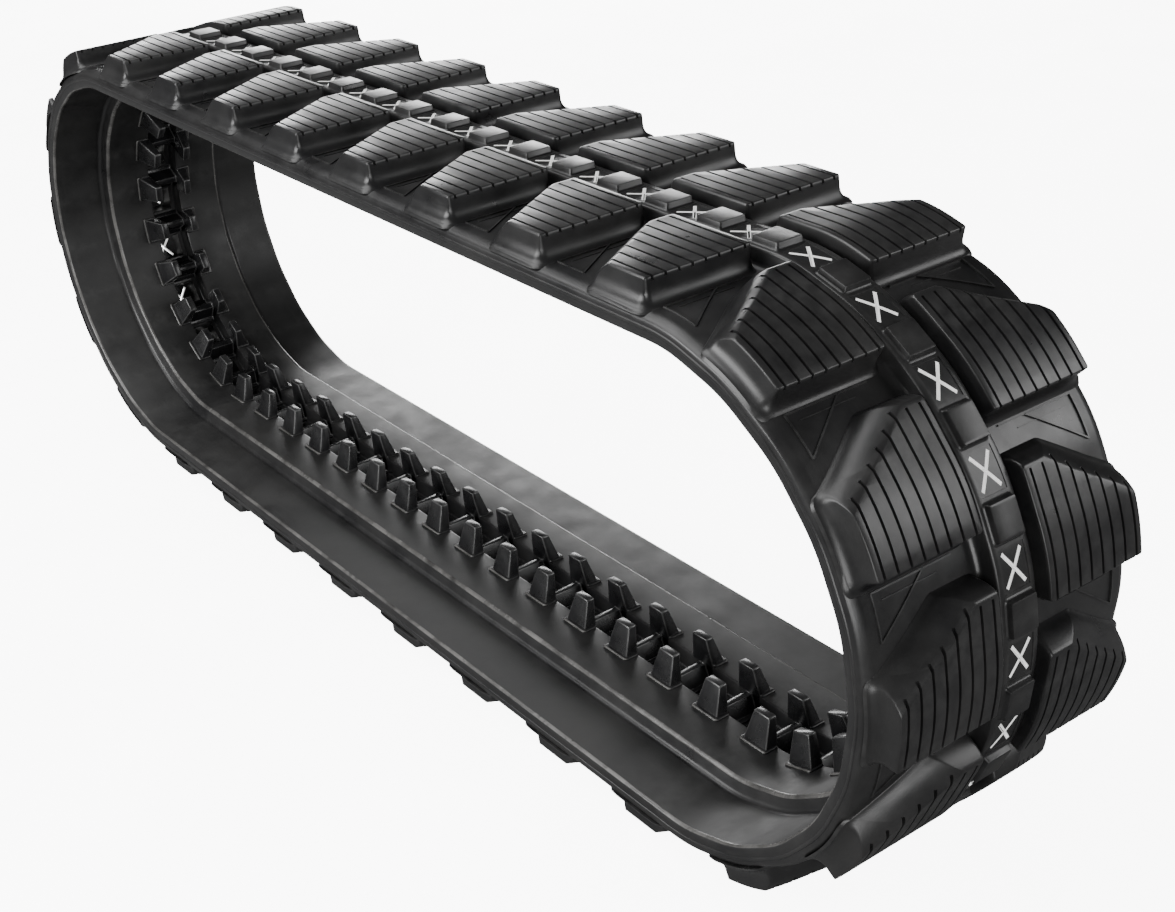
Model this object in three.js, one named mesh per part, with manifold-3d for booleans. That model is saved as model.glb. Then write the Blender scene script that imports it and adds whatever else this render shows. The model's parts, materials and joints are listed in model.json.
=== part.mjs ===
// An endless rubber track: one vulcanised rubber carcass with tread lugs, a forged steel core bar in
// every link with a pair of guide horns, and two endless steel cord bands that carry the pull.
// Millimetres, +Z up. The origin is on the ground under the middle of the track, +X is along the loop.
import * as THREE from 'three'
import Module from 'manifold-3d'

const wasm = await Module()
wasm.setup()

// Layout of the loop. The band is straight over the runs and turns in equal steps at each end.
const pitch = 92               // from one core bar to the next, along the cords
const straightLinks = 16       // links in the bottom run, and in the top run
const bendHinges = 11          // places the band turns in each end bend
const beltWidth = 400

// Heights in the band are measured from the cord line: + is towards the inside of the loop.
const wingInner = 14           // inner face of the thin outer wings
const wingOuter = 16           // groove floor between the tread lugs
const rollerPath = 34          // inner face of the raised strips the rollers run on
const channelFloor = 6         // floor of the channel between the two rows of horns
const stripOuter = 38          // outer face of the centre strip
const lugTop = 48              // ground face of the tread lugs
const blockTop = 46            // ground face of the small centre blocks

// Widths, each from the centre line.
const pathEdge = 105
const pathSlope = 7            // run of the step from the roller path down to the wing
const channelHalf = 27
const stripHalf = 26
const blockHalf = 19
const blockLength = 40
const rimRadiusY = 14          // chamfer on the outer corner of the rim
const rimDrop = 6

// Tread lug, seen on its ground face. The straight face lies across the band.
const lugInset = 38            // inner side of a lug from the centre line
const lugMargin = 16           // from the outer end of a lug to the edge of the band
const lugEnd = beltWidth / 2 - lugMargin
const lugInnerLength = 130
const lugOuterLength = 60
const lugLeadWidth = 32        // the part of the leading edge that is square to the band
const lugDraft = 4
const lugRampDraft = 16        // the leading side leans much more
const lugEndDraft = 13

// Pocket for the sprocket tooth between two cores, with a crossed slit through its thin floor.
const pocketMargin = 26        // from the core's centre to the pocket's edge
const pocketHalf = 19
const pocketFloor = 30
const slitLength = 40
const slitWidth = 5
const slitAngle = 38           // degrees from the running direction

// Core bar.
const coreLength = 42          // along the band
const coreCover = 50           // rubber beyond each end of a core
const coreSpan = beltWidth - 2 * coreCover
const coreThick = 9
const hornTip = 28             // length of a horn's tip along the band
const hornThick = 20
const hornTipThick = 12
const hornLean = 5             // how far the horns lean in over the channel
const hornTipInner = channelHalf - hornLean
const hornHeight = 41          // above the roller path
const bridgeTop = 31
const bridgeFoot = 28
const bridgeRidge = 10

// Cord band.
const cordHornGap = 8          // from a horn's root to the nearest cord
const cordEndGap = 5           // from the outermost cord to the end of a core
const cordInner = channelHalf + hornThick + cordHornGap
const cordOuter = coreSpan / 2 - cordEndGap
const cordTop = 1.2            // below the cord line, just clear of the cores
const cordThick = 6.2

const pinHole = 7              // mould pin hole that leads down to each cord band
const pinHoleInset = 17        // from the hole to the outermost cord
const pinHoleY = cordOuter - pinHoleInset

const embedGap = 0.3           // around every piece that is moulded in

const linkCount = 2 * (straightLinks + bendHinges - 1)
const turn = Math.PI / bendHinges

// ---- the path of the band -------------------------------------------------------------------
function coreDirection(k) {
  const i = ((k % linkCount) + linkCount) % linkCount
  const laps = Math.floor(k / linkCount) * 2 * Math.PI
  const bend = bendHinges - 1
  if (i < straightLinks) return laps
  if (i < straightLinks + bend) return laps + turn * (i - straightLinks + 1)
  if (i < 2 * straightLinks + bend) return laps + Math.PI
  return laps + Math.PI + turn * (i - 2 * straightLinks - bend + 1)
}

// Even facets carry a core, odd facets are the rubber between two cores.
function facetDirection(j) {
  const k = Math.floor(j / 2)
  return j % 2 === 0 ? coreDirection(k) : (coreDirection(k) + coreDirection(k + 1)) / 2
}

const facetCount = 2 * linkCount
const facetLength = pitch / 2
const facetStart = (() => {
  const at = [new THREE.Vector2(-(straightLinks / 2 - 0.25) * pitch, lugTop)]
  for (let j = 0; j < facetCount; j++) {
    const a = facetDirection(j)
    const step = new THREE.Vector2(Math.cos(a), Math.sin(a)).multiplyScalar(facetLength)
    at.push(at[j].clone().add(step))
  }
  return at
})()

// The point at a joint between two facets, a given height in from the cord line.
function jointPoint(j, height) {
  const i = ((j % facetCount) + facetCount) % facetCount
  const before = i === 0 ? facetDirection(facetCount - 1) - 2 * Math.PI : facetDirection(i - 1)
  const after = facetDirection(i)
  const a = (before + after) / 2
  const r = height / Math.cos((after - before) / 2)
  return new THREE.Vector2(-Math.sin(a) * r, Math.cos(a) * r).add(facetStart[i])
}

// Lays a point of the flat, unrolled band on the loop. along is counted from the first link.
function onLoop(along, y, height) {
  const u = (along - 0.25 * pitch) / facetLength
  const j = Math.floor(u + 1e-6)
  const p = jointPoint(j, height).lerp(jointPoint(j + 1, height), u - j)
  return [p.x, y, p.y]
}

// ---- solids --------------------------------------------------------------------------------
function solid(points, faces) {
  const tri = faces.flatMap((f) => f.slice(2).flatMap((_, i) => [f[0], f[i + 1], f[i + 2]]))
  let volume = 0
  for (let i = 0; i < tri.length; i += 3) {
    const [a, b, c] = [0, 1, 2].map((n) => new THREE.Vector3(...points[tri[i + n]]))
    volume += a.dot(b.cross(c))
  }
  if (volume < 0) tri.reverse()
  const mesh = new wasm.Mesh({
    numProp: 3,
    vertProperties: new Float32Array(points.flat()),
    triVerts: new Uint32Array(tri),
  })
  return new wasm.Manifold(mesh)
}

// Joins rings of points with the same count into one closed solid.
function loft(rings) {
  const n = rings[0].length
  const faces = []
  for (let r = 0; r + 1 < rings.length; r++) {
    for (let i = 0; i < n; i++) {
      const next = (i + 1) % n
      faces.push([r * n + i, r * n + next, (r + 1) * n + next, (r + 1) * n + i])
    }
  }
  const flat = rings[0].map((p) => p.slice())
  const spread = [0, 1, 2].map((c) => Math.max(...flat.map((p) => p[c])) - Math.min(...flat.map((p) => p[c])))
  const drop = spread.indexOf(Math.min(...spread))
  const keep = [0, 1, 2].filter((c) => c !== drop)
  const outline = flat.map((p) => new THREE.Vector2(p[keep[0]], p[keep[1]]))
  const flipped = THREE.ShapeUtils.isClockWise(outline)
  const order = outline.map((_, i) => (flipped ? n - 1 - i : i))
  const filled = THREE.ShapeUtils.triangulateShape(order.map((i) => outline[i]), [])
  const cap = filled.map((t) => t.map((i) => order[i]))
  const last = (rings.length - 1) * n
  for (const t of cap) {
    const forward = flipped ? t.slice().reverse() : t
    faces.push(forward.slice().reverse())
    faces.push(forward.map((i) => i + last))
  }
  return solid(rings.flat(), faces)
}

function box(lo, hi) {
  const ring = (z) => [[lo[0], lo[1], z], [hi[0], lo[1], z], [hi[0], hi[1], z], [lo[0], hi[1], z]]
  return loft([ring(lo[2]), ring(hi[2])])
}

function joined(solids) {
  return solids.reduce((a, b) => a.add(b))
}

// ---- two links of flat, unrolled rubber -----------------------------------------------------
const moduleStart = 0.75 * pitch
const moduleEnd = moduleStart + 2 * pitch

function bandSection() {
  const half = beltWidth / 2
  const right = [
    [channelHalf, channelFloor], [channelHalf, rollerPath], [pathEdge, rollerPath],
    [pathEdge + pathSlope, wingInner], [half - rimDrop / 2, wingInner], [half, wingInner - rimDrop],
    [half, -wingOuter + rimDrop], [half - rimRadiusY, -wingOuter], [stripHalf, -wingOuter],
    [stripHalf, -stripOuter],
  ]
  const left = right.map(([y, h]) => [-y, h]).reverse()
  return [...right, ...left]
}

function bandBlank() {
  const reach = pitch
  const ring = (s) => bandSection().map(([y, h]) => [s, y, h])
  return loft([ring(moduleStart - reach), ring(moduleEnd + reach)])
}

// Moves every edge of a convex outline outwards by its own distance.
function spreadOutline(outline, distances) {
  const n = outline.length
  const lines = outline.map((p, i) => {
    const q = outline[(i + 1) % n]
    const d = new THREE.Vector2(q[0] - p[0], q[1] - p[1]).normalize()
    const out = new THREE.Vector2(d.y, -d.x).multiplyScalar(distances[i])
    return { at: new THREE.Vector2(...p).add(out), d }
  })
  return lines.map((line, i) => {
    const before = lines[(i + n - 1) % n]
    const cross = before.d.x * line.d.y - before.d.y * line.d.x
    const gap = line.at.clone().sub(before.at)
    const t = (gap.x * line.d.y - gap.y * line.d.x) / cross
    return [before.at.x + before.d.x * t, before.at.y + before.d.y * t]
  })
}

// One tread lug. side is 1 for the row on +Y. The straight face is at the given place along the band.
function treadLug(along, side) {
  const top = [
    [0, lugInset], [lugInnerLength, lugInset], [lugInnerLength, lugInset + lugLeadWidth],
    [lugOuterLength, lugEnd], [0, lugEnd],
  ]
  const base = spreadOutline(top, [lugDraft, lugRampDraft / 2, lugRampDraft, lugEndDraft, lugDraft])
  const place = (outline, height) => outline.map(([s, y]) => [along + s, side * y, height])
  return loft([place(top, -lugTop), place(base, rimDrop - wingOuter)])
}

function centreBlock(along) {
  const ring = (grow, h) => {
    const [low, high] = [along - blockLength / 2 - grow, along + blockLength / 2 + grow]
    const side = blockHalf + grow
    return [[low, -side, h], [high, -side, h], [high, side, h], [low, side, h]]
  }
  return loft([ring(0, -blockTop), ring(2, -stripOuter + 1)])
}

function toothPocket(along) {
  const reach = pitch / 2 - pocketMargin
  return box([along - reach, -pocketHalf, -pocketFloor], [along + reach, pocketHalf, channelFloor + 1])
}

function crossedSlit(along) {
  const arm = (angle) => {
    const a = THREE.MathUtils.degToRad(angle)
    const corners = [[-1, -1], [1, -1], [1, 1], [-1, 1]].map(([i, j]) => {
      const [l, w] = [(i * slitLength) / 2, (j * slitWidth) / 2]
      return [along + l * Math.cos(a) - w * Math.sin(a), l * Math.sin(a) + w * Math.cos(a)]
    })
    return loft([-stripOuter - 1, -pocketFloor + 1].map((h) => corners.map(([s, y]) => [s, y, h])))
  }
  return arm(slitAngle).add(arm(-slitAngle))
}

function cordTunnel(side, low, high) {
  const [a, b] = [side * (cordInner - embedGap), side * (cordOuter + embedGap)].sort((p, q) => p - q)
  return box([low, a, -cordTop - cordThick - embedGap], [high, b, -cordTop + embedGap])
}

function rubberModule() {
  const lugs = []
  for (let k = -2; k <= 2; k += 2) {
    lugs.push(treadLug((k + 0.5) * pitch, -1), treadLug((k + 1.5) * pitch, 1))
  }
  const blocks = [1.5, 2.5].map((k) => centreBlock(k * pitch))
  let flat = joined([bandBlank(), ...lugs, ...blocks])
  for (const k of [0, 1, 2, 3]) flat = flat.subtract(toothPocket(k * pitch))
  for (const k of [1, 2]) flat = flat.subtract(crossedSlit(k * pitch))
  const far = 3 * pitch
  for (const side of [-1, 1]) flat = flat.subtract(cordTunnel(side, -far, 2 * far))
  const keep = box([moduleStart, -beltWidth, -beltWidth], [moduleEnd, beltWidth, beltWidth])
  return flat.asOriginal().intersect(keep).asOriginal()
}

// ---- laying the modules round the loop --------------------------------------------------------
function meshData(manifold) {
  const mesh = manifold.getMesh()
  const points = []
  for (let i = 0; i < mesh.vertProperties.length; i += mesh.numProp) {
    points.push([...mesh.vertProperties.slice(i, i + 3)])
  }
  const tris = []
  for (let i = 0; i < mesh.triVerts.length; i += 3) tris.push([...mesh.triVerts.slice(i, i + 3)])
  return { points, tris }
}

// Cuts every triangle that crosses the plane at a place along the band, so it can fold there.
function foldLine({ points, tris }, along) {
  const near = 1e-3
  const side = points.map((p) => (Math.abs(p[0] - along) < near ? 0 : Math.sign(p[0] - along)))
  const cuts = new Map()
  const cut = (a, b) => {
    const key = a < b ? `${a},${b}` : `${b},${a}`
    if (!cuts.has(key)) {
      const [i, j] = a < b ? [a, b] : [b, a]
      const t = (along - points[i][0]) / (points[j][0] - points[i][0])
      cuts.set(key, points.length)
      points.push(points[i].map((v, c) => v + (points[j][c] - v) * t))
      side.push(0)
    }
    return cuts.get(key)
  }
  const out = []
  for (const tri of tris) {
    const s = tri.map((i) => side[i])
    if (!(s.includes(1) && s.includes(-1))) {
      out.push(tri)
      continue
    }
    if (s.includes(0)) {
      const i = s.indexOf(0)
      const [a, b, c] = [tri[i], tri[(i + 1) % 3], tri[(i + 2) % 3]]
      const m = cut(b, c)
      out.push([a, b, m], [a, m, c])
      continue
    }
    const lone = s.findIndex((v) => s.filter((w) => w === v).length === 1)
    const [a, b, c] = [tri[lone], tri[(lone + 1) % 3], tri[(lone + 2) % 3]]
    const [ab, ca] = [cut(a, b), cut(c, a)]
    out.push([a, ab, ca], [ab, b, c], [ab, c, ca])
  }
  return { points, tris: out }
}

// Splits the two faces on the straight edge that the point (y, h) lies on, at one end of the module.
function addSeamPoint(piece, end, [y, h]) {
  const onEnd = (i) => Math.abs(piece.points[i][0] - end) < 1e-2
  const index = piece.points.length
  const holds = (i, j) => {
    if (!onEnd(i) || !onEnd(j)) return false
    const [a, b] = [i, j].map((n) => new THREE.Vector2(piece.points[n][1] - y, piece.points[n][2] - h))
    return Math.abs(a.cross(b)) < 0.05 && a.dot(b) < 0
  }
  const tris = piece.tris.flatMap((t) => {
    const e = [0, 1, 2].find((i) => holds(t[i], t[(i + 1) % 3]))
    if (e === undefined) return [t]
    const [a, b, c] = [t[e], t[(e + 1) % 3], t[(e + 2) % 3]]
    return [[a, index, c], [index, b, c]]
  })
  piece.points.push([end, y, h])
  piece.tris = tris
}

// Gives both ends of the module the same seam points, so one module meets the next without a gap.
function matchEnds(piece, low, high) {
  const at = (end) => piece.points.filter((p) => Math.abs(p[0] - end) < 1e-2)
  const same = (p, q) => Math.hypot(p[1] - q[1], p[2] - q[2]) < 0.02
  const [first, last] = [at(low), at(high)]
  first.filter((p) => !last.some((q) => same(p, q))).forEach((p) => addSeamPoint(piece, high, p.slice(1)))
  last.filter((p) => !first.some((q) => same(p, q))).forEach((p) => addSeamPoint(piece, low, p.slice(1)))
  return piece
}

function foldsBetween(from, to) {
  const folds = []
  for (let j = Math.ceil(from / facetLength); j * facetLength < to; j++) {
    const along = (j + 0.5) * facetLength
    if (along <= from + 1 || along >= to - 1) continue
    if (Math.abs(facetDirection(j) - facetDirection(j - 1)) > 1e-6) folds.push(along)
  }
  return folds
}

function ringOf(module, from, length, repeats) {
  const flat = matchEnds(module, from, from + length)
  const points = []
  const tris = []
  const seen = new Map()
  for (let m = 0; m < repeats; m++) {
    const shift = m * length
    let piece = { points: flat.points.map((p) => [p[0] + shift, p[1], p[2]]), tris: flat.tris }
    const [low, high] = [from + shift, from + shift + length]
    for (const along of foldsBetween(low, high)) piece = foldLine(piece, along)
    const atEnd = (i, end) => Math.abs(piece.points[i][0] - end) < 1e-2
    const index = piece.points.map((p, i) => {
      const seam = atEnd(i, low) ? m : atEnd(i, high) ? (m + 1) % repeats : -1
      const onSeam = (v) => Math.round(v * 100) / 100
      const [s, y, h] = seam < 0 ? p : [from + seam * length, onSeam(p[1]), onSeam(p[2])]
      const key = seam < 0 ? `${m}:${i}` : `s${seam},${y.toFixed(2)},${h.toFixed(2)}`
      if (!seen.has(key)) {
        seen.set(key, points.length)
        points.push(onLoop(s, y, h))
      }
      return seen.get(key)
    })
    for (const tri of piece.tris) {
      if ([low, high].some((end) => tri.every((i) => atEnd(i, end)))) continue
      const mapped = tri.map((i) => index[i])
      if (new Set(mapped).size === 3) tris.push(mapped)
    }
  }
  const mesh = new wasm.Mesh({
    numProp: 3,
    vertProperties: new Float32Array(points.flat()),
    triVerts: new Uint32Array(tris.flat()),
  })
  return new wasm.Manifold(mesh).asOriginal().simplify(0.02)
}

// ---- core bars -------------------------------------------------------------------------------
// A core bar in its own frame: X along the band, Z in from the cord line.
function coreBar() {
  const half = coreLength / 2
  const wings = box([-half, -coreSpan / 2, 0], [half, coreSpan / 2, coreThick])
  const foot = bridgeFoot / 2
  const ridge = bridgeRidge / 2
  const outline = [[-foot, coreThick], [foot, coreThick], [ridge, bridgeTop], [-ridge, bridgeTop]]
  const bridge = loft([-channelHalf, channelHalf].map((y) => outline.map(([s, h]) => [s, y, h])))
  const horns = [-1, 1].map((side) => {
    const ring = (length, inner, outer, h) => [
      [-length / 2, side * inner, h], [length / 2, side * inner, h],
      [length / 2, side * outer, h], [-length / 2, side * outer, h],
    ]
    return loft([
      ring(coreLength, channelHalf, channelHalf + hornThick, coreThick),
      ring(coreLength, channelHalf, channelHalf + hornThick, rollerPath),
      ring(hornTip, hornTipInner, hornTipInner + hornTipThick, rollerPath + hornHeight),
    ])
  })
  return joined([wings, bridge, ...horns]).asOriginal()
}

// The space a core bar takes up in the rubber.
function coreCavity() {
  const half = coreLength / 2 + embedGap
  const end = coreSpan / 2 + embedGap
  const wings = box([-half, -end, -embedGap], [half, end, coreThick + embedGap])
  const roots = [-1, 1].map((side) => {
    const edges = [channelHalf - embedGap, channelHalf + hornThick + embedGap]
    const [a, b] = edges.map((y) => side * y).sort((p, q) => p - q)
    return box([-half, a, 0], [half, b, rollerPath + 2])
  })
  return joined([wings, ...roots]).asOriginal()
}

function placeOnLink(manifold, k) {
  const a = coreDirection(k)
  const mid = onLoop((k + 0.5) * pitch, 0, 0)
  const turnAbout = (p) => [
    mid[0] + p[0] * Math.cos(a) - p[2] * Math.sin(a), p[1], mid[2] + p[0] * Math.sin(a) + p[2] * Math.cos(a),
  ]
  const { points, tris } = meshData(manifold)
  return solid(points.map(turnAbout), tris)
}

// ---- the three kinds of piece ------------------------------------------------------------------
function carcassSolid() {
  let rubber = ringOf(meshData(rubberModule()), moduleStart, 2 * pitch, linkCount / 2)
  const cavity = coreCavity()
  for (let k = 0; k < linkCount; k++) rubber = rubber.subtract(placeOnLink(cavity, k))
  for (const side of [-1, 1]) rubber = rubber.subtract(mouldPinHole(side))
  return rubber.asOriginal().simplify(0.02)
}

// A square hole from the inner face of the wing to the cords, between two links of the bottom run.
function mouldPinHole(side) {
  const half = pinHole / 2
  const floor = lugTop - cordTop - cordThick / 2
  return box([-half, side * pinHoleY - half, floor], [half, side * pinHoleY + half, lugTop + rollerPath + 1])
}

function cordSolid(side) {
  const [a, b] = [side * cordInner, side * cordOuter].sort((p, q) => p - q)
  const flat = box([moduleStart, a, -cordTop - cordThick], [moduleEnd, b, -cordTop])
  return ringOf(meshData(flat), moduleStart, 2 * pitch, linkCount / 2)
}

const finishes = {
  rubber: { color: 0x1b1b1c, roughness: 0.72, metalness: 0 },
  core: { color: 0x17181a, roughness: 0.5, metalness: 0.35 },
  cord: { color: 0x8d8f92, roughness: 0.35, metalness: 1 },
}

function named(name, manifold, finish) {
  const { points, tris } = meshData(manifold)
  const geometry = new THREE.BufferGeometry()
  geometry.setAttribute('position', new THREE.Float32BufferAttribute(points.flat(), 3))
  geometry.setIndex(tris.flat())
  geometry.computeVertexNormals()
  const mesh = new THREE.Mesh(geometry, new THREE.MeshStandardMaterial(finishes[finish]))
  mesh.name = name
  return mesh
}

const track = new THREE.Group()
track.name = 'rubber_track'
track.add(named('carcass', carcassSolid(), 'rubber'))
track.add(named('cord_band_left', cordSolid(1), 'cord'))
track.add(named('cord_band_right', cordSolid(-1), 'cord'))
const core = coreBar()
for (let k = 0; k < linkCount; k++) {
  track.add(named(`core_${String(k).padStart(2, '0')}`, placeOnLink(core, k), 'core'))
}

export default track
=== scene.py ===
import json
import math

import bmesh
import bpy
from mathutils import Matrix, Vector
from mathutils.geometry import delaunay_2d_cdt

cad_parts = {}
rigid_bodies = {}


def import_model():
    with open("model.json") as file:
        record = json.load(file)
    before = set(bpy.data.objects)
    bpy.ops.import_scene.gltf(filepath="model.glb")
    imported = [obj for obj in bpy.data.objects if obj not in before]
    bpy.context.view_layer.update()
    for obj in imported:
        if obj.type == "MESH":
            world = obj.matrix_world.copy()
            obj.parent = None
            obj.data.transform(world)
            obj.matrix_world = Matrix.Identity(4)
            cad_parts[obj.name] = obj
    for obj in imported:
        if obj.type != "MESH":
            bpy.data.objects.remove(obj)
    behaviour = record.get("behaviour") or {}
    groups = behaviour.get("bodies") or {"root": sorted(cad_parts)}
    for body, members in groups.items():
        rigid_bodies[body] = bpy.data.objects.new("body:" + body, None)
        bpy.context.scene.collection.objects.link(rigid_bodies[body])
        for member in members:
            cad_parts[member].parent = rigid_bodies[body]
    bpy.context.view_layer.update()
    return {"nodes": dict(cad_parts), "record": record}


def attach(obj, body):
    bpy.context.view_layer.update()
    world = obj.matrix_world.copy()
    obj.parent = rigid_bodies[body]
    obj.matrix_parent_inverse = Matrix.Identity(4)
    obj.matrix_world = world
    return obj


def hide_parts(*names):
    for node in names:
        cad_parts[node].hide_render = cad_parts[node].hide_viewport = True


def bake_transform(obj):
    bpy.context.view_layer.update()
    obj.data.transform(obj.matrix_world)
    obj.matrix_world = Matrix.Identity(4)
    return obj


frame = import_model()

MM = 0.001

# ---- sizes of the band, in millimetres; heights are measured inwards from the cord line ----------
PITCH = 92.0
LINKS = 52
STRAIGHT_LINKS = 16
BEND_HINGES = 11
TURN = math.pi / BEND_HINGES
CORE_FLAT = 17.0            # half length of band that stays flat over a core
OPENING_CLEARANCE = 0.05    # between the two halves of the top run, which no joint ties together
LUG_TOP = -48.0
BLOCK_TOP = -46.0
STRIP = -38.0
FLOOR = -16.0
WING = 14.0
PATH = 34.0
CHANNEL_FLOOR = 6.0
CHANNEL_HALF = 27.0
POCKET_HALF = 19.0
POCKET_MARGIN = 26.0
POCKET_FLOOR = -30.0


# ---- the loop: a flat band laid round two end bends -----------------------------------------------
def core_direction(k):
    laps, i = divmod(k, LINKS)
    bend = BEND_HINGES - 1
    start = laps * 2 * math.pi
    if i < STRAIGHT_LINKS:
        return start
    if i < STRAIGHT_LINKS + bend:
        return start + TURN * (i - STRAIGHT_LINKS + 1)
    if i < 2 * STRAIGHT_LINKS + bend:
        return start + math.pi
    return start + math.pi + TURN * (i - 2 * STRAIGHT_LINKS - bend + 1)


def core_centres():
    """The point on the cord line under the middle of each core, as (x, z)."""
    x, z = -(STRAIGHT_LINKS / 2 - 0.5) * PITCH, -LUG_TOP
    places = []
    for k in range(LINKS):
        places.append((x, z))
        here, after = core_direction(k), core_direction(k + 1)
        between = (here + after) / 2
        x += PITCH / 4 * (math.cos(here) + math.cos(after)) + PITCH / 2 * math.cos(between)
        z += PITCH / 4 * (math.sin(here) + math.sin(after)) + PITCH / 2 * math.sin(between)
    return places


CENTRES = core_centres()


def on_loop(along, y, height):
    """Lays a point of the flat band on the loop. Along is counted from the start of link 0."""
    k = math.floor(along / PITCH)
    u = along - (k + 0.5) * PITCH
    here = core_direction(k)
    side = 1 if u >= 0 else -1
    step = core_direction(k + side) - here
    x0, z0 = CENTRES[k % LINKS]
    run = min(abs(u), CORE_FLAT)
    tx, tz = math.cos(here), math.sin(here)
    px, pz = x0 + side * run * tx, z0 + side * run * tz
    angle = here
    rest = abs(u) - run
    if rest > 0:
        share = rest / (PITCH / 2 - CORE_FLAT)
        if abs(step) < 1e-9:
            px += side * rest * tx
            pz += side * rest * tz
        else:
            reach = PITCH / 4 + PITCH / 4 / math.cos(step / 2) - CORE_FLAT
            radius = reach / math.tan(abs(step) / 2)
            swing = share * abs(step) / 2
            forward = radius * math.sin(swing)
            inward = radius * (1 - math.cos(swing))
            px += side * forward * tx - inward * tz
            pz += side * forward * tz + inward * tx
            angle = here + side * swing
    nx, nz = -math.sin(angle), math.cos(angle)
    return Vector(((px + nx * height) * MM, y * MM, (pz + nz * height) * MM))


# ---- outlines -------------------------------------------------------------------------------------
def spread(outline, distances):
    """Moves every edge of a convex outline outwards by its own distance."""
    n = len(outline)
    lines = []
    for i, p in enumerate(outline):
        q = outline[(i + 1) % n]
        dx, dy = q[0] - p[0], q[1] - p[1]
        size = math.hypot(dx, dy)
        dx, dy = dx / size, dy / size
        lines.append((p[0] + dy * distances[i], p[1] - dx * distances[i], dx, dy))
    out = []
    for i in range(n):
        ax, ay, adx, ady = lines[i - 1]
        bx, by, bdx, bdy = lines[i]
        cross = adx * bdy - ady * bdx
        t = ((bx - ax) * bdy - (by - ay) * bdx) / cross
        out.append((ax + adx * t, ay + ady * t))
    return out


def box_outline(low_a, high_a, low_b, high_b):
    """The four corners of a rectangle, going round with the inside on the left."""
    return [(low_a, low_b), (high_a, low_b), (high_a, high_b), (low_a, high_b)]


def round_corners(outline, radius, steps=4):
    """Swaps each corner for an arc; the number of points depends only on the steps."""
    out = []
    n = len(outline)
    for i, p in enumerate(outline):
        a = Vector(outline[i - 1]) - Vector(p)
        b = Vector(outline[(i + 1) % n]) - Vector(p)
        half = a.angle(b) / 2
        cut = min(radius / math.tan(half), a.length * 0.45, b.length * 0.45)
        start, end = Vector(p) + a.normalized() * cut, Vector(p) + b.normalized() * cut
        for s in range(steps + 1):
            t = s / steps
            out.append(tuple(start.lerp(Vector(p), t).lerp(Vector(p).lerp(end, t), t)))
    return out


# ---- flat shells, built in (along, across, height) --------------------------------------------------
def loft(mesh, rings, slot=0, close_ends=True):
    """Skins a stack of rings with the same number of points and closes both ends."""
    rows = [[mesh.verts.new(p) for p in ring] for ring in rings]
    n = len(rows[0])
    faces = []
    for low, high in zip(rows, rows[1:]):
        for i in range(n):
            j = (i + 1) % n
            faces.append(mesh.faces.new((low[i], low[j], high[j], high[i])))
    if close_ends:
        faces.append(mesh.faces.new(tuple(reversed(rows[0]))))
        faces.append(mesh.faces.new(tuple(rows[-1])))
    for f in faces:
        f.material_index = slot
    return faces


def sweep_section(mesh, section, start, end, finishes=None):
    """A length of band with one cross-section in (across, height). Finishes maps a side to its slot."""
    faces = loft(mesh, [[(s, y, h) for y, h in section] for s in (start, end)])
    for side, slot in (finishes or {}).items():
        faces[side].material_index = slot


LUG_OUTLINE = [(0, 38), (130, 38), (130, 70), (60, 184), (0, 184)]
LUG_REACH = (6.0, 15.0, 29.0, 15.5, 13.0)     # how far each side spreads from its top edge to the floor


def lug_spread(side, t):
    """How far a side of a lug stands out at a share t of the way down from its ground face."""
    reach, t = LUG_REACH[side], min(t, 1.0)
    if side in (1, 2):
        ramp = 0.42 * t + 0.50 * (1 - (1 - t) ** 2.2)
        return reach * (ramp + 0.08 * max(0.0, (t - 0.8) / 0.2) ** 2)
    wall = 0.22 * t
    foot = 0.78 * (1 - math.sqrt(max(0.0, 1 - max(0.0, (t - 0.42) / 0.58) ** 2)))
    return reach * (wall + foot)


def lug_ring(t, inset, radius):
    """The outline of a lug at a share t of the way down, its corners rounder towards the foot."""
    turned = [LUG_OUTLINE[-1]] + LUG_OUTLINE[:-1]
    distances = [lug_spread(side, t) - inset for side in (4, 0, 1, 2, 3)]
    height = LUG_TOP + t * (FLOOR - LUG_TOP)
    return [(s, y, height) for s, y in round_corners(spread(turned, distances), radius)]


def lug_shell():
    """One tread lug of the +Y row with its straight face at 0: crisp top, barrelled ramp, flared foot."""
    mesh = bmesh.new()
    rings = [(0.0, 1.5, 2.6), (0.012, 0.55, 3.2), (0.035, 0.0, 3.6)]
    shares = (0.12, 0.25, 0.4, 0.52, 0.63, 0.73, 0.81, 0.88, 0.93, 0.97, 0.995)
    rings += [(t, 0.0, 3.6 + 13.0 * t * t) for t in shares]
    rings.append((1.1, -0.4, 16.0))
    loft(mesh, [lug_ring(*r) for r in rings])
    bmesh.ops.recalc_face_normals(mesh, faces=mesh.faces)
    return mesh


GROOVES = [47.0 + 18.2 * i for i in range(8)]
GROOVE_HALF = 1.75
GROOVE_DEPTH = 5.5


def groove_end(y):
    """Where a fine groove in the ground face runs out, just past the leading edge."""
    if y <= 66:
        return 126.0
    return 130 - max(0.0, y - 70) * 70 / 114 + 7.0


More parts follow.
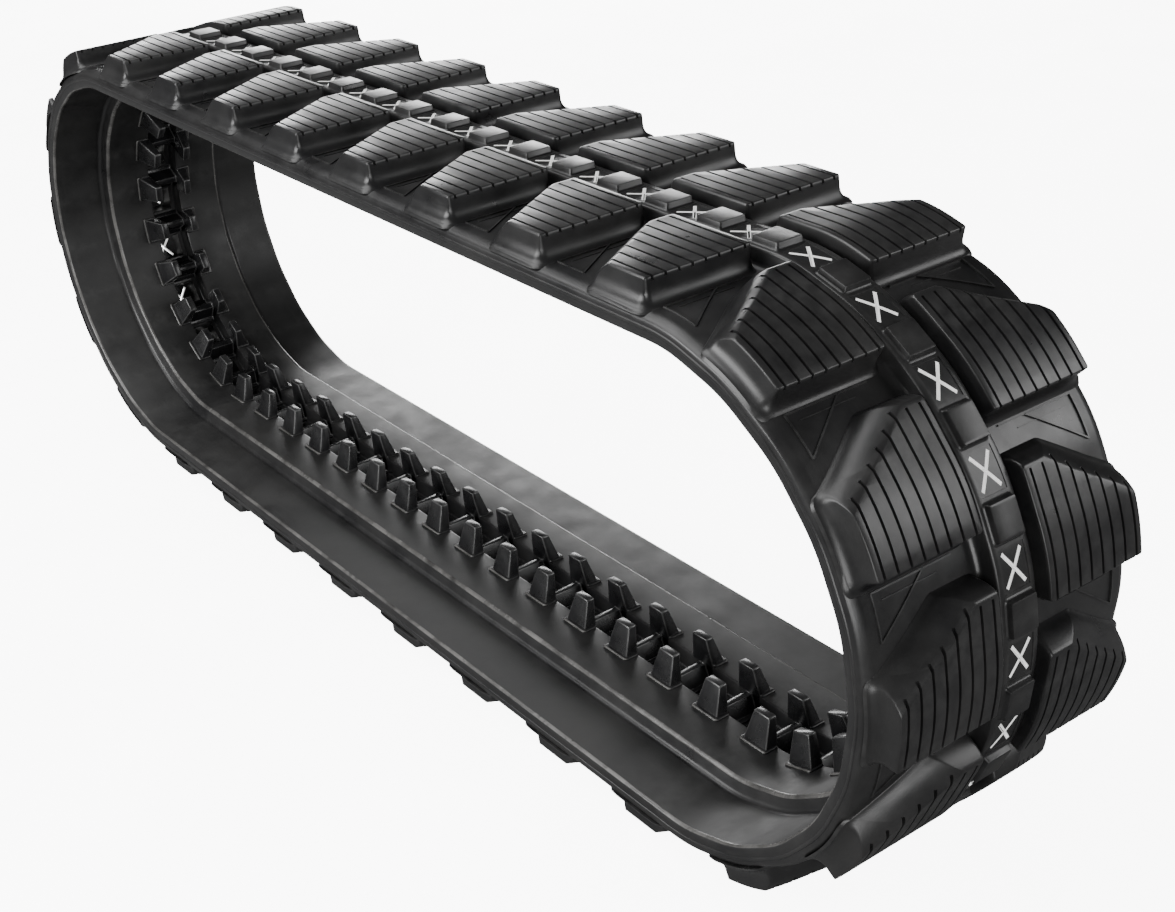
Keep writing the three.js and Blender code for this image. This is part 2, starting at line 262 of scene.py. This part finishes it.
def cut_grooves(mesh):
    """Cuts the fine grooves that run along the band on the ground face of a lug."""
    body = object_from(mesh, "lug_blank")
    cutter = bmesh.new()
    for y in GROOVES:
        near, far, end = y - GROOVE_HALF, y + GROOVE_HALF, groove_end(y)
        ring = [(-9.0, near), (end, near), (end, far), (-9.0, far)]
        loft(cutter, [[(s, w, h) for s, w in ring] for h in (LUG_TOP - 3.0, LUG_TOP + GROOVE_DEPTH)])
    bmesh.ops.recalc_face_normals(cutter, faces=cutter.faces)
    tool = object_from(cutter, "groove_cutter")
    cut = body.modifiers.new("grooves", "BOOLEAN")
    cut.operation, cut.object, cut.solver = "DIFFERENCE", tool, "EXACT"
    done = bpy.data.meshes.new_from_object(body.evaluated_get(bpy.context.evaluated_depsgraph_get()))
    out = bmesh.new()
    out.from_mesh(done)
    for thing in (body, tool):
        bpy.data.objects.remove(thing)
    return out


def object_from(mesh, name):
    data = bpy.data.meshes.new(name)
    mesh.to_mesh(data)
    mesh.free()
    thing = bpy.data.objects.new(name, data)
    bpy.context.scene.collection.objects.link(thing)
    bpy.context.view_layer.update()
    return thing


# Slot 1 is a pale glowing ring painted round each slit; slot 2 is a lighter finish painted as a highlight on
# rounded edges.
PAINTED_GLOW_SLOT, PAINTED_HIGHLIGHT_SLOT, INNER_SLOT = 1, 2, 3      # slot 0 is the tread rubber
PATH_SIDE = 5               # the raised strip that the rollers run on
WING_SIDE = 13              # the flat inner face of the band beside the roller path
# Sides 6 to 8 (the rounded edge of the step down from the roller path) and 14 to 15 (the rounded outer edge of
# the wing) take the lighter finish as a painted highlight.
BAND_FINISHES = {6: PAINTED_HIGHLIGHT_SLOT, 7: PAINTED_HIGHLIGHT_SLOT, 8: PAINTED_HIGHLIGHT_SLOT, 14: PAINTED_HIGHLIGHT_SLOT, 15: PAINTED_HIGHLIGHT_SLOT,
                 PATH_SIDE: INNER_SLOT, WING_SIDE: INNER_SLOT}
BAND_HALF = [
    (POCKET_HALF, CHANNEL_FLOOR), (CHANNEL_HALF - 1.5, CHANNEL_FLOOR),
    (CHANNEL_HALF, CHANNEL_FLOOR + 1.5),
    (CHANNEL_HALF, PATH - 3), (CHANNEL_HALF + 0.9, PATH - 0.9), (CHANNEL_HALF + 3, PATH),
    (101.5, PATH), (103.6, PATH - 0.5), (105.2, PATH - 1.8), (106.3, PATH - 4.0), (109.8, WING + 5.5),
    (111.6, WING + 2.2), (114.5, WING + 0.5), (118.0, WING), (193.5, WING), (196.0, WING - 0.7),
    (197.6, WING - 2.2), (198.4, WING - 4.2), (198.8, 4.0), (198.9, 1.2), (199.8, 0.2), (200.0, -1.2),
    (199.8, -2.6), (198.7, -3.6), (198.4, -8.2), (197.0, -10.4), (194.0, -12.2), (189.0, -14.6),
    (184.0, FLOOR),
    (40.0, FLOOR), (34.0, FLOOR - 0.8), (30.5, FLOOR - 3.2), (28.4, FLOOR - 7.0), (27.4, STRIP + 3.5),
    (26.6, STRIP + 1.2), (24.8, STRIP), (POCKET_HALF, STRIP),
]


def crossed_slit(grow, centre):
    """Outline of two crossed slots, as (along, across)."""
    half_long, half_wide, angle = 20.0 + grow, 1.2 + grow, math.radians(41)
    inner_side = half_wide / math.sin(angle)
    inner_end = half_wide / math.cos(angle)
    c, s = math.cos(angle), math.sin(angle)
    tip = [(half_long * c - half_wide * s, half_long * s + half_wide * c),
           (half_long * c + half_wide * s, half_long * s - half_wide * c)]
    quarter = [(0, inner_end), tip[0], tip[1], (inner_side, 0)]
    right_down = [(tip[1][0], -tip[1][1]), (tip[0][0], -tip[0][1]), (0, -inner_end)]
    left = [(-tip[0][0], -tip[0][1]), (-tip[1][0], -tip[1][1]), (-inner_side, 0),
            (-tip[1][0], tip[1][1]), (-tip[0][0], tip[0][1])]
    return [(centre + a, b) for a, b in quarter + right_down + left]


def pocket_floor_plate(mesh, centre):
    """The thin rubber floor of a tooth pocket, with the crossed slit and a ring round it that is painted pale
    and glowing, standing in for light seen through the slit.
    """
    reach = PITCH / 2 - POCKET_MARGIN
    frame_outline = box_outline(centre - reach, centre + reach, -POCKET_HALF, POCKET_HALF)
    glow_outline, slit = crossed_slit(0.8, centre), crossed_slit(0.0, centre)
    loops = [frame_outline, glow_outline, slit]
    points, edges, starts = [], [], []
    for loop in loops:
        starts.append(len(points))
        points += [Vector(p) for p in loop]
        edges += [(starts[-1] + i, starts[-1] + (i + 1) % len(loop)) for i in range(len(loop))]
    flat, _, tris, *_ = delaunay_2d_cdt(points, edges, [], 1, 1e-4)

    def inside(p, loop):
        hit = False
        for (ax, ay), (bx, by) in zip(loop, loop[1:] + loop[:1]):
            if (ay > p[1]) != (by > p[1]) and p[0] < (bx - ax) * (p[1] - ay) / (by - ay) + ax:
                hit = not hit
        return hit

    outer, inner = STRIP + 0.8, POCKET_FLOOR
    low = {}
    high = {}
    for i, p in enumerate(flat):
        low[i] = mesh.verts.new((p.x, p.y, outer))
        high[i] = mesh.verts.new((p.x, p.y, inner))
    border = {}
    for t in tris:
        mid = sum((flat[i] for i in t), Vector((0, 0))) / len(t)
        if inside(mid, slit):
            continue
        # Faces inside the ring outline are painted pale and glowing as light from the slit.
        painted_glow = inside(mid, glow_outline)
        for verts in ([low[i] for i in reversed(t)], [high[i] for i in t]):
            mesh.faces.new(verts).material_index = PAINTED_GLOW_SLOT if painted_glow else 0
        for a, b in zip(t, list(t[1:]) + [t[0]]):
            if (b, a) in border:
                border.pop((b, a))
            else:
                border[(a, b)] = painted_glow
    for (a, b), painted_glow in border.items():
        face = mesh.faces.new((low[a], low[b], high[b], high[a]))
        face.material_index = PAINTED_GLOW_SLOT if painted_glow else 0


def centre_block(mesh, centre):
    """A small tread block on the centre strip, over a core."""
    corners = box_outline(-20.0, 20.0, -19.0, 19.0)

    def ring(grow, radius, height):
        edges = spread(corners, (grow,) * 4)
        return [(centre + s, y, height) for s, y in round_corners(edges, radius)]

    loft(mesh, [
        ring(-1.6, 1.6, BLOCK_TOP), ring(-0.5, 2.2, BLOCK_TOP + 0.4), ring(0.0, 2.6, BLOCK_TOP + 1.5),
        ring(0.6, 3.0, STRIP - 2.2), ring(1.5, 4.0, STRIP - 0.7), ring(3.0, 5.0, STRIP),
        ring(3.0, 5.0, STRIP + 3),
    ])


def core_rib(mesh, centre):
    """The rubber under and beside a core between two tooth pockets."""
    half = POCKET_MARGIN
    side = POCKET_HALF
    profile = [(-half, STRIP), (half, STRIP), (half, CHANNEL_FLOOR - 1.5), (half - 1.5, CHANNEL_FLOOR),
               (-half + 1.5, CHANNEL_FLOOR), (-half, CHANNEL_FLOOR - 1.5)]
    loft(mesh, [[(centre + s, y, h) for s, h in profile] for y in (-side, side)])


def horn_seat(mesh, centre, side):
    """A low raised collar of rubber where a guide horn comes out of the roller path."""
    near, far = 27.5, 51.5
    corners = box_outline(-24.5, 24.5, near, far)

    def ring(grow, radius, height):
        edges = spread(corners, (grow, grow, grow, grow))
        return [(centre + s, side * y, height) for s, y in round_corners(edges, radius)]

    faces = loft(mesh, [ring(0.0, 4.0, PATH - 2), ring(0.0, 4.0, PATH + 1.6), ring(-0.8, 3.4, PATH + 2.6),
                        ring(-2.0, 2.6, PATH + 2.9)])
    # The outer top faces of the collar take the lighter finish as a painted highlight.
    for face in faces:
        across = [side * v.co.y for v in face.verts]
        outer = max(across) > far - 2.5 and min(across) > far - 5
        if outer and min(v.co.z for v in face.verts) > PATH + 1:
            face.material_index = PAINTED_HIGHLIGHT_SLOT


def mould_ridges(mesh, row, start):
    """Thin raised mould lines on the groove floor between two lugs of a row."""
    def ridge(a, b, wide=1.9, tall=1.7):
        a, b = Vector(a), Vector(b)
        across = Vector((-(b - a).y, (b - a).x)).normalized() * wide / 2
        ring = [a - across, b - across, b + across, a + across]
        loft(mesh, [[(start + p.x, row * p.y, h) for p in ring] for h in (FLOOR - tall, FLOOR + 0.5)])

    ridge((-14, 60), (-14, 172))
    ridge((-14, 172), (-62, 172))
    ridge((-62, 172), (-14, 100))
    ridge((-24, 84), (-24, 160), 0.9, 0.9)


def rubber_shells():
    """All rubber between 0 and 4 links, flat; the middle two links are one full repeat."""
    mesh = bmesh.new()
    for side in (1, -1):
        section = [(side * y, h) for y, h in BAND_HALF]
        sweep_section(mesh, section, 0.0, 4 * PITCH, BAND_FINISHES)
    for k in range(5):
        pocket_floor_plate(mesh, k * PITCH)
    for k in range(4):
        core_rib(mesh, (k + 0.5) * PITCH)
        centre_block(mesh, (k + 0.5) * PITCH)
        for side in (1, -1):
            horn_seat(mesh, (k + 0.5) * PITCH, side)
    for k in (-2, 0, 2):
        mould_ridges(mesh, -1, (k + 0.5) * PITCH)
        mould_ridges(mesh, 1, (k + 1.5) * PITCH)
    lug = bpy.data.meshes.new("lug")
    cut_grooves(lug_shell()).to_mesh(lug)
    for k in (-2, 0, 2):
        for row, shift in ((-1, 0.5), (1, 1.5)):
            copy = bmesh.new()
            copy.from_mesh(lug)
            bmesh.ops.translate(copy, verts=copy.verts, vec=((k + shift) * PITCH, 0, 0))
            if row < 0:
                bmesh.ops.scale(copy, verts=copy.verts, vec=(1, -1, 1))
            piece = bpy.data.meshes.new("lug_copy")
            copy.to_mesh(piece)
            copy.free()
            mesh.from_mesh(piece)
            bpy.data.meshes.remove(piece)
    bmesh.ops.recalc_face_normals(mesh, faces=mesh.faces)
    return mesh


# ---- one link of flat rubber, from the middle of a core to the middle of the next -------------------
def cut_at(mesh, along, clear=0):
    """Cuts the shells at a place along the band; clear 1 drops what lies beyond, -1 what lies before."""
    made = bmesh.ops.bisect_plane(
        mesh, geom=mesh.verts[:] + mesh.edges[:] + mesh.faces[:], dist=1e-4, plane_co=(along, 0, 0),
        plane_no=(1, 0, 0), clear_outer=clear > 0, clear_inner=clear < 0)
    if clear:
        rim = [e for e in made["geom_cut"] if isinstance(e, bmesh.types.BMEdge) and e.is_boundary]
        if rim:
            bmesh.ops.edgeloop_fill(mesh, edges=rim, mat_nr=0)


def link_mesh(shells, start, folds):
    """A copy of the shells cut to one link, with extra cuts where the band bends."""
    mesh = bmesh.new()
    holder = bpy.data.meshes.new("holder")
    shells.to_mesh(holder)
    mesh.from_mesh(holder)
    bpy.data.meshes.remove(holder)
    cut_at(mesh, start, -1)
    cut_at(mesh, start + PITCH, 1)
    for place in folds:
        cut_at(mesh, start + place)
    bmesh.ops.translate(mesh, verts=mesh.verts, vec=(-start, 0, 0))
    bmesh.ops.dissolve_degenerate(mesh, edges=mesh.edges, dist=1e-3)
    for edge in mesh.edges:
        edge.smooth = len(edge.link_faces) == 2 and edge.calc_face_angle(3.2) < math.radians(38)
    for face in mesh.faces:
        face.smooth = True
    data = bpy.data.meshes.new("link")
    mesh.to_mesh(data)
    mesh.free()
    return data


BEND_STEPS = 7


def bend_folds():
    """Where a link is cut across so that it can bend between two cores."""
    return [CORE_FLAT + (PITCH - 2 * CORE_FLAT) * i / BEND_STEPS for i in range(BEND_STEPS + 1)]


def laid_piece(name, links, materials):
    """Joins flat links into one piece on the loop. Each link is (flat mesh, start, clearance at its end)."""
    mesh = bmesh.new()
    flat = mesh.verts.layers.float_vector.new("band_place")
    for data, start, clearance in links:
        first = len(mesh.verts)
        mesh.from_mesh(data)
        mesh.verts.ensure_lookup_table()
        for v in mesh.verts[first:]:
            along, y, height = v.co.x * (1 - clearance / PITCH) + start, v.co.y, v.co.z
            v[flat] = Vector((along, y, height)) * MM
            v.co = on_loop(along, y, height)
    data = bpy.data.meshes.new(name)
    mesh.to_mesh(data)
    mesh.free()
    for m in materials:
        data.materials.append(m)
    thing = bpy.data.objects.new(name, data)
    bpy.context.scene.collection.objects.link(thing)
    return thing


# ---- which body each link belongs to ------------------------------------------------------------------
behaviour = frame["record"].get("behaviour") or {}
node_body = {n: b for b, ns in (behaviour.get("bodies") or {}).items() for n in ns}


def body_of_core(k):
    return node_body.get(f"core_{k % LINKS:02d}", "root")


def jointed(a, b):
    return any({j["parent"], j["child"]} == {a, b} for j in behaviour.get("joints", []))


def place_pieces(kind, make_link, materials):
    """Lays one kind of soft piece all round: a piece of its own lies across each hinge, and the rest ride where
    nothing turns.
    """
    runs = {}
    made = []
    for k in range(LINKS):
        before, after = body_of_core(k - 1), body_of_core(k)
        tied = jointed(before, after)
        opened = before != after and not tied
        link = (make_link(k), ((k or LINKS) - 0.5) * PITCH, OPENING_CLEARANCE if opened else 0.0)
        if tied:
            forward = any(j["child"] == after and j["parent"] == before for j in behaviour["joints"])
            child = after if forward else before
            thing = laid_piece(f"{kind}_{child}", [link], materials)
            start, end = on_loop(link[1], 0, 0), on_loop(link[1] + PITCH, 0, 0)
            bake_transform(thing)
            made.append(thing)
        else:
            runs.setdefault(before, []).append(link)
    for body, links in runs.items():
        thing = laid_piece(f"{kind}_along_{body}", links, materials)
        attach(thing, body)
        made.append(thing)
    return made


# ---- finishes ---------------------------------------------------------------------------------------------
def new_group(name, inputs, outputs):
    group = bpy.data.node_groups.new(name, "ShaderNodeTree")
    for label, kind, value in inputs:
        socket = group.interface.new_socket(label, in_out="INPUT", socket_type=kind)
        if value is not None:
            socket.default_value = value
    for label, kind in outputs:
        group.interface.new_socket(label, in_out="OUTPUT", socket_type=kind)
    return group, group.nodes.new("NodeGroupInput"), group.nodes.new("NodeGroupOutput")


def noise(tree, vector, scale, detail=4.0, roughness=0.55):
    node = tree.nodes.new("ShaderNodeTexNoise")
    tree.links.new(vector, node.inputs["Vector"])
    if isinstance(scale, (int, float)):
        node.inputs["Scale"].default_value = scale
    else:
        tree.links.new(scale, node.inputs["Scale"])
    node.inputs["Detail"].default_value = detail
    node.inputs["Roughness"].default_value = roughness
    return node.outputs["Fac"]


def remap(tree, value, low, high, to_low=0.0, to_high=1.0):
    node = tree.nodes.new("ShaderNodeMapRange")
    tree.links.new(value, node.inputs["Value"])
    for socket, number in zip(("From Min", "From Max", "To Min", "To Max"), (low, high, to_low, to_high)):
        node.inputs[socket].default_value = number
    return node.outputs["Result"]


def maths(tree, kind, a, b):
    node = tree.nodes.new("ShaderNodeMath")
    node.operation = kind
    for socket, value in zip(node.inputs, (a, b)):
        if isinstance(value, (int, float)):
            socket.default_value = value
        else:
            tree.links.new(value, socket)
    return node.outputs[0]


def blend_colours(tree, share, a, b):
    node = tree.nodes.new("ShaderNodeMix")
    node.data_type = "RGBA"
    tree.links.new(share, node.inputs["Factor"])
    for socket, value in zip((node.inputs[6], node.inputs[7]), (a, b)):
        if isinstance(value, tuple):
            socket.default_value = value
        else:
            tree.links.new(value, socket)
    return node.outputs[2]


def moulded_grain_group():
    """Fine moulded texture and faint swirls of a rubber surface, as a height and a mottle."""
    group, start, end = new_group(
        "moulded grain",
        [("Vector", "NodeSocketVector", None), ("Fine", "NodeSocketFloat", 900.0),
         ("Broad", "NodeSocketFloat", 22.0)],
        [("Height", "NodeSocketFloat"), ("Mottle", "NodeSocketFloat")])
    fine = noise(group, start.outputs["Vector"], start.outputs["Fine"], 3.0)
    broad = noise(group, start.outputs["Vector"], start.outputs["Broad"], 6.0, 0.62)
    height = maths(group, "ADD", maths(group, "MULTIPLY", fine, 0.35), maths(group, "MULTIPLY", broad, 0.65))
    group.links.new(height, end.inputs["Height"])
    group.links.new(remap(group, broad, 0.32, 0.68), end.inputs["Mottle"])
    return group


def painted_edge_highlight_group():
    """A painted highlight on raised edges, found from pointiness and broken up by noise."""
    group, start, end = new_group(
        "painted edge highlight",
        [("Vector", "NodeSocketVector", None), ("Sharpness", "NodeSocketFloat", 0.52),
         ("Scale", "NodeSocketFloat", 60.0)],
        [("Highlight", "NodeSocketFloat")])
    place = group.nodes.new("ShaderNodeNewGeometry")
    raised = group.nodes.new("ShaderNodeMapRange")
    group.links.new(place.outputs["Pointiness"], raised.inputs["Value"])
    group.links.new(start.outputs["Sharpness"], raised.inputs["From Min"])
    raised.inputs["From Max"].default_value = 0.62
    broken = remap(group, noise(group, start.outputs["Vector"], start.outputs["Scale"], 5.0), 0.35, 0.65)
    group.links.new(maths(group, "MULTIPLY", raised.outputs["Result"], broken), end.inputs["Highlight"])
    return group


def dust_group():
    """Pale dust and scuffs that gather in patches and short streaks along the band."""
    group, start, end = new_group(
        "dust and scuffs",
        [("Vector", "NodeSocketVector", None), ("Amount", "NodeSocketFloat", 0.3)],
        [("Dust", "NodeSocketFloat")])
    patch = remap(group, noise(group, start.outputs["Vector"], 7.0, 6.0, 0.6), 0.42, 0.80)
    stretch = group.nodes.new("ShaderNodeMapping")
    stretch.inputs["Scale"].default_value = (14.0, 90.0, 90.0)
    group.links.new(start.outputs["Vector"], stretch.inputs["Vector"])
    streak = remap(group, noise(group, stretch.outputs["Vector"], 1.0, 5.0, 0.6), 0.58, 0.74)
    both = maths(group, "MAXIMUM", patch, maths(group, "MULTIPLY", streak, 0.6))
    group.links.new(maths(group, "MULTIPLY", both, start.outputs["Amount"]), end.inputs["Dust"])
    return group


GRAIN, EDGE_HIGHLIGHT, DUST = moulded_grain_group(), painted_edge_highlight_group(), dust_group()


def use_group(tree, group, vector, **values):
    node = tree.nodes.new("ShaderNodeGroup")
    node.node_tree = group
    tree.links.new(vector, node.inputs["Vector"])
    for label, value in values.items():
        node.inputs[label].default_value = value
    return node


def band_place(tree):
    node = tree.nodes.new("ShaderNodeAttribute")
    node.attribute_name = "band_place"
    return node.outputs["Vector"]


def object_place(tree):
    return tree.nodes.new("ShaderNodeTexCoord").outputs["Object"]


def rubber_finish(name, dark, light, roughness, dust, bump, place):
    """Moulded black rubber: mottled colour, a painted highlight on raised edges, dust, and a fine grain."""
    material = bpy.data.materials.new(name)
    material.use_nodes = True
    tree = material.node_tree
    shader = tree.nodes["Principled BSDF"]
    where = place(tree)
    grain = use_group(tree, GRAIN, where)
    edge_highlight = use_group(tree, EDGE_HIGHLIGHT, where)
    dusty = use_group(tree, DUST, where, Amount=dust)
    tone = blend_colours(tree, grain.outputs["Mottle"], dark, light)
    # Painted highlight: raised edges are mixed towards a lighter grey.
    tone_with_edge_highlight = blend_colours(tree, maths(tree, "MULTIPLY", edge_highlight.outputs["Highlight"], 0.4), tone, (0.07, 0.07, 0.069, 1))
    final = blend_colours(tree, dusty.outputs["Dust"], tone_with_edge_highlight, (0.04, 0.039, 0.037, 1))
    tree.links.new(final, shader.inputs["Base Color"])
    matt = maths(tree, "ADD", remap(tree, grain.outputs["Mottle"], 0, 1, roughness - 0.06, roughness + 0.07),
                 maths(tree, "MULTIPLY", dusty.outputs["Dust"], 0.25))
    tree.links.new(matt, shader.inputs["Roughness"])
    shader.inputs["Specular IOR Level"].default_value = 0.5
    relief = tree.nodes.new("ShaderNodeBump")
    relief.inputs["Strength"].default_value = bump
    relief.inputs["Distance"].default_value = 0.0006
    tree.links.new(grain.outputs["Height"], relief.inputs["Height"])
    tree.links.new(relief.outputs["Normal"], shader.inputs["Normal"])
    return material


def painted_glow_lip_finish():
    """A ring round each slit, painted pale and given a glow to stand in for bright light seen through the slit.
    """
    material = bpy.data.materials.new("painted_glow_lip")
    material.use_nodes = True
    tree = material.node_tree
    shader = tree.nodes["Principled BSDF"]
    where = band_place(tree)
    patch = remap(tree, noise(tree, where, 240.0, 4.0), 0.3, 0.7)
    tone = blend_colours(tree, patch, (0.80, 0.80, 0.78, 1), (0.95, 0.95, 0.94, 1))
    tree.links.new(tone, shader.inputs["Base Color"])
    tree.links.new(remap(tree, patch, 0, 1, 0.5, 0.7), shader.inputs["Roughness"])
    # Painted glow: the ring gives off a little light of its own.
    shader.inputs["Emission Color"].default_value = (1, 1, 1, 1)
    shader.inputs["Emission Strength"].default_value = 0.3
    return material


RUBBER = rubber_finish(
    "tread_rubber", (0.0075, 0.0075, 0.008, 1), (0.0125, 0.0125, 0.013, 1), 0.32, 0.45, 0.3, band_place)
HORN = rubber_finish(
    "horn_coat", (0.006, 0.006, 0.0065, 1), (0.010, 0.010, 0.011, 1), 0.28, 0.04, 0.2, object_place)
# Painted light: the pale glowing ring round each slit.
PAINTED_GLOW_LIP = painted_glow_lip_finish()
# Painted highlight: a much lighter rubber for the rounded band edges and collar tops.
PAINTED_HIGHLIGHT_RUBBER = rubber_finish(
    "painted_highlight_edge", (0.035, 0.034, 0.033, 1), (0.16, 0.156, 0.15, 1), 0.24, 0.25, 0.5, band_place)
# Painted highlight: a lighter finish for the eased edges of the horns.
PAINTED_HIGHLIGHT_HORN = rubber_finish(
    "painted_highlight_horn_edge", (0.02, 0.02, 0.02, 1), (0.10, 0.10, 0.10, 1), 0.22, 0.1, 0.3, object_place)


def cord_finish():
    """Bright drawn steel cords lying side by side."""
    material = bpy.data.materials.new("cord_steel")
    material.use_nodes = True
    tree = material.node_tree
    shader = tree.nodes["Principled BSDF"]
    where = band_place(tree)
    lay = tree.nodes.new("ShaderNodeTexWave")
    lay.bands_direction = "Y"
    lay.inputs["Scale"].default_value = 60.0
    tree.links.new(where, lay.inputs["Vector"])
    tone = blend_colours(tree, lay.outputs["Fac"], (0.30, 0.30, 0.31, 1), (0.62, 0.62, 0.63, 1))
    tree.links.new(tone, shader.inputs["Base Color"])
    tree.links.new(remap(tree, lay.outputs["Fac"], 0, 1, 0.5, 0.3), shader.inputs["Roughness"])
    shader.inputs["Metallic"].default_value = 1.0
    return material


CORD = cord_finish()
INNER_RUBBER = rubber_finish(
    "satin_inner_face", (0.008, 0.008, 0.008, 1), (0.014, 0.014, 0.014, 1), 0.50, 0.4, 0.3, band_place)


# ---- the rubber and the cords round the loop ------------------------------------------------------------
shells = rubber_shells()
straight = [link_mesh(shells, (i + 0.5) * PITCH, []) for i in (0, 1)]
bent = [link_mesh(shells, (i + 0.5) * PITCH, bend_folds()) for i in (0, 1)]


def turns_at(k):
    return abs(core_direction(k) - core_direction(k - 1)) > 1e-9


def rubber_link(k):
    # link piece k runs from core k-1 to core k; the +Y and -Y rows swap every link
    return (bent if turns_at(k) else straight)[(k - 1) % 2]


rubber_pieces = place_pieces("rubber", rubber_link, [RUBBER, PAINTED_GLOW_LIP, PAINTED_HIGHLIGHT_RUBBER, INNER_RUBBER])
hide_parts("carcass")


CORD_INNER, CORD_OUTER = 55, 145
CORD_LOW, CORD_HIGH = -7.4, -1.2


def cord_link(folds):
    """The two flat layers of steel cord over one link."""
    mesh = bmesh.new()
    for side in (1, -1):
        section = [(side * y, h) for y, h in box_outline(CORD_INNER, CORD_OUTER, CORD_LOW, CORD_HIGH)]
        sweep_section(mesh, section, 0.0, PITCH)
    bmesh.ops.recalc_face_normals(mesh, faces=mesh.faces)
    for place in folds:
        cut_at(mesh, place)
    data = bpy.data.meshes.new("cord_link")
    mesh.to_mesh(data)
    mesh.free()
    return data


flat_cords, bent_cords = cord_link([]), cord_link(bend_folds())
cord_pieces = place_pieces("cords", lambda k: bent_cords if turns_at(k) else flat_cords, [CORD])
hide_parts("cord_band_left", "cord_band_right")


# ---- core bars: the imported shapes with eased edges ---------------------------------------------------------
def ease_edges(node):
    weld = node.modifiers.new("weld", "WELD")
    weld.merge_threshold = 0.02 * MM
    ease = node.modifiers.new("eased_edges", "BEVEL")
    ease.width = 1.6 * MM
    ease.segments = 2
    ease.limit_method = "ANGLE"
    ease.angle_limit = math.radians(25)
    # The bevel faces take slot 1, the lighter finish painted as a highlight on the eased edges.
    ease.material = 1
    for polygon in node.data.polygons:
        polygon.use_smooth = True


for k in range(LINKS):
    core = frame["nodes"][f"core_{k:02d}"]
    ease_edges(core)
    core.data.materials.clear()
    core.data.materials.append(HORN)
    core.data.materials.append(PAINTED_HIGHLIGHT_HORN)


# ---- floor, light and camera ----------------------------------------------------------------------------
def plain_floor():
    data = bpy.data.meshes.new("floor")
    mesh = bmesh.new()
    reach, rise = 9.0, 5.0
    profile = [(-reach, 0.0), (reach * 0.7, 0.0)]
    profile += [(reach * 0.7 + rise * math.sin(a), rise - rise * math.cos(a)) for a in
                [math.radians(10 * i) for i in range(1, 10)]]
    profile.append((reach * 0.7 + rise, rise + 4))
    rows = [[mesh.verts.new((x, y, z)) for x in (-reach * 1.6, reach * 1.6)] for y, z in profile]
    for low, high in zip(rows, rows[1:]):
        mesh.faces.new((low[0], low[1], high[1], high[0])).smooth = True
    mesh.to_mesh(data)
    mesh.free()
    floor = bpy.data.objects.new("floor", data)
    bpy.context.scene.collection.objects.link(floor)
    material = bpy.data.materials.new("floor_paper")
    material.use_nodes = True
    tree = material.node_tree
    shader = tree.nodes["Principled BSDF"]
    tone = remap(tree, noise(tree, object_place(tree), 3.0), 0.3, 0.7)
    paper = blend_colours(tree, tone, (0.90, 0.90, 0.90, 1), (0.94, 0.94, 0.94, 1))
    ray = tree.nodes.new("ShaderNodeLightPath")
    seen = blend_colours(tree, ray.outputs["Is Camera Ray"], (0.22, 0.22, 0.22, 1), paper)
    tree.links.new(seen, shader.inputs["Base Color"])
    tree.links.new(paper, shader.inputs["Emission Color"])
    glow = maths(tree, "MULTIPLY", ray.outputs["Is Camera Ray"], 9.0)
    tree.links.new(glow, shader.inputs["Emission Strength"])
    shader.inputs["Roughness"].default_value = 0.9
    data.materials.append(material)


def soft_light(name, place, aim, size, power):
    lamp = bpy.data.lights.new(name, "AREA")
    lamp.shape = "RECTANGLE"
    lamp.size, lamp.size_y = size
    lamp.energy = power
    thing = bpy.data.objects.new(name, lamp)
    thing.location = place
    thing.rotation_euler = (Vector(aim) - Vector(place)).to_track_quat("-Z", "Y").to_euler()
    bpy.context.scene.collection.objects.link(thing)


def studio():
    world = bpy.data.worlds.new("studio")
    bpy.context.scene.world = world
    world.use_nodes = True
    back = world.node_tree.nodes["Background"]
    back.inputs["Color"].default_value = (1, 1, 1, 1)
    ray = world.node_tree.nodes.new("ShaderNodeLightPath")
    seen = remap(world.node_tree, ray.outputs["Is Camera Ray"], 0, 1, 0.13, 8.3)
    world.node_tree.links.new(seen, back.inputs["Strength"])
    soft_light("over", (-0.9, -0.9, 3.2), (0, 0, 0.4), (2.6, 2.0), 82)
    soft_light("behind", (-4.6, 3.0, 1.5), (0, 0, 0.74), (3.6, 0.9), 150)
    soft_light("left", (-0.8, -3.4, 1.9), (0.4, 0, 0.4), (2.6, 1.4), 150)
    soft_light("right", (3.0, 2.6, 1.7), (0.8, 0, 0.4), (2.4, 1.6), 60)
    soft_light("front", (3.9, -2.2, 0.9), (0.6, 0, 0.3), (2.6, 1.4), 88)


def camera():
    lens, image_width, sensor = 1765.5, 1175, 36.0
    azimuth, elevation, roll = math.radians(54.48), math.radians(27.21), math.radians(-3.78)
    place = Vector((2.024, -1.2227, 1.4074))
    level = math.cos(elevation)
    back = Vector((math.sin(azimuth) * level, -math.cos(azimuth) * level, math.sin(elevation)))
    right = Vector((0, 0, 1)).cross(back).normalized()
    up = back.cross(right)
    turned = right * math.cos(roll) + up * math.sin(roll)
    upright = up * math.cos(roll) - right * math.sin(roll)
    data = bpy.data.cameras.new("camera")
    data.sensor_width = sensor
    data.lens = lens * sensor / image_width
    thing = bpy.data.objects.new("camera", data)
    thing.matrix_world = Matrix((
        (turned.x, upright.x, back.x, place.x), (turned.y, upright.y, back.y, place.y),
        (turned.z, upright.z, back.z, place.z), (0, 0, 0, 1)))
    bpy.context.scene.collection.objects.link(thing)
    bpy.context.scene.camera = thing


plain_floor()
studio()
camera()
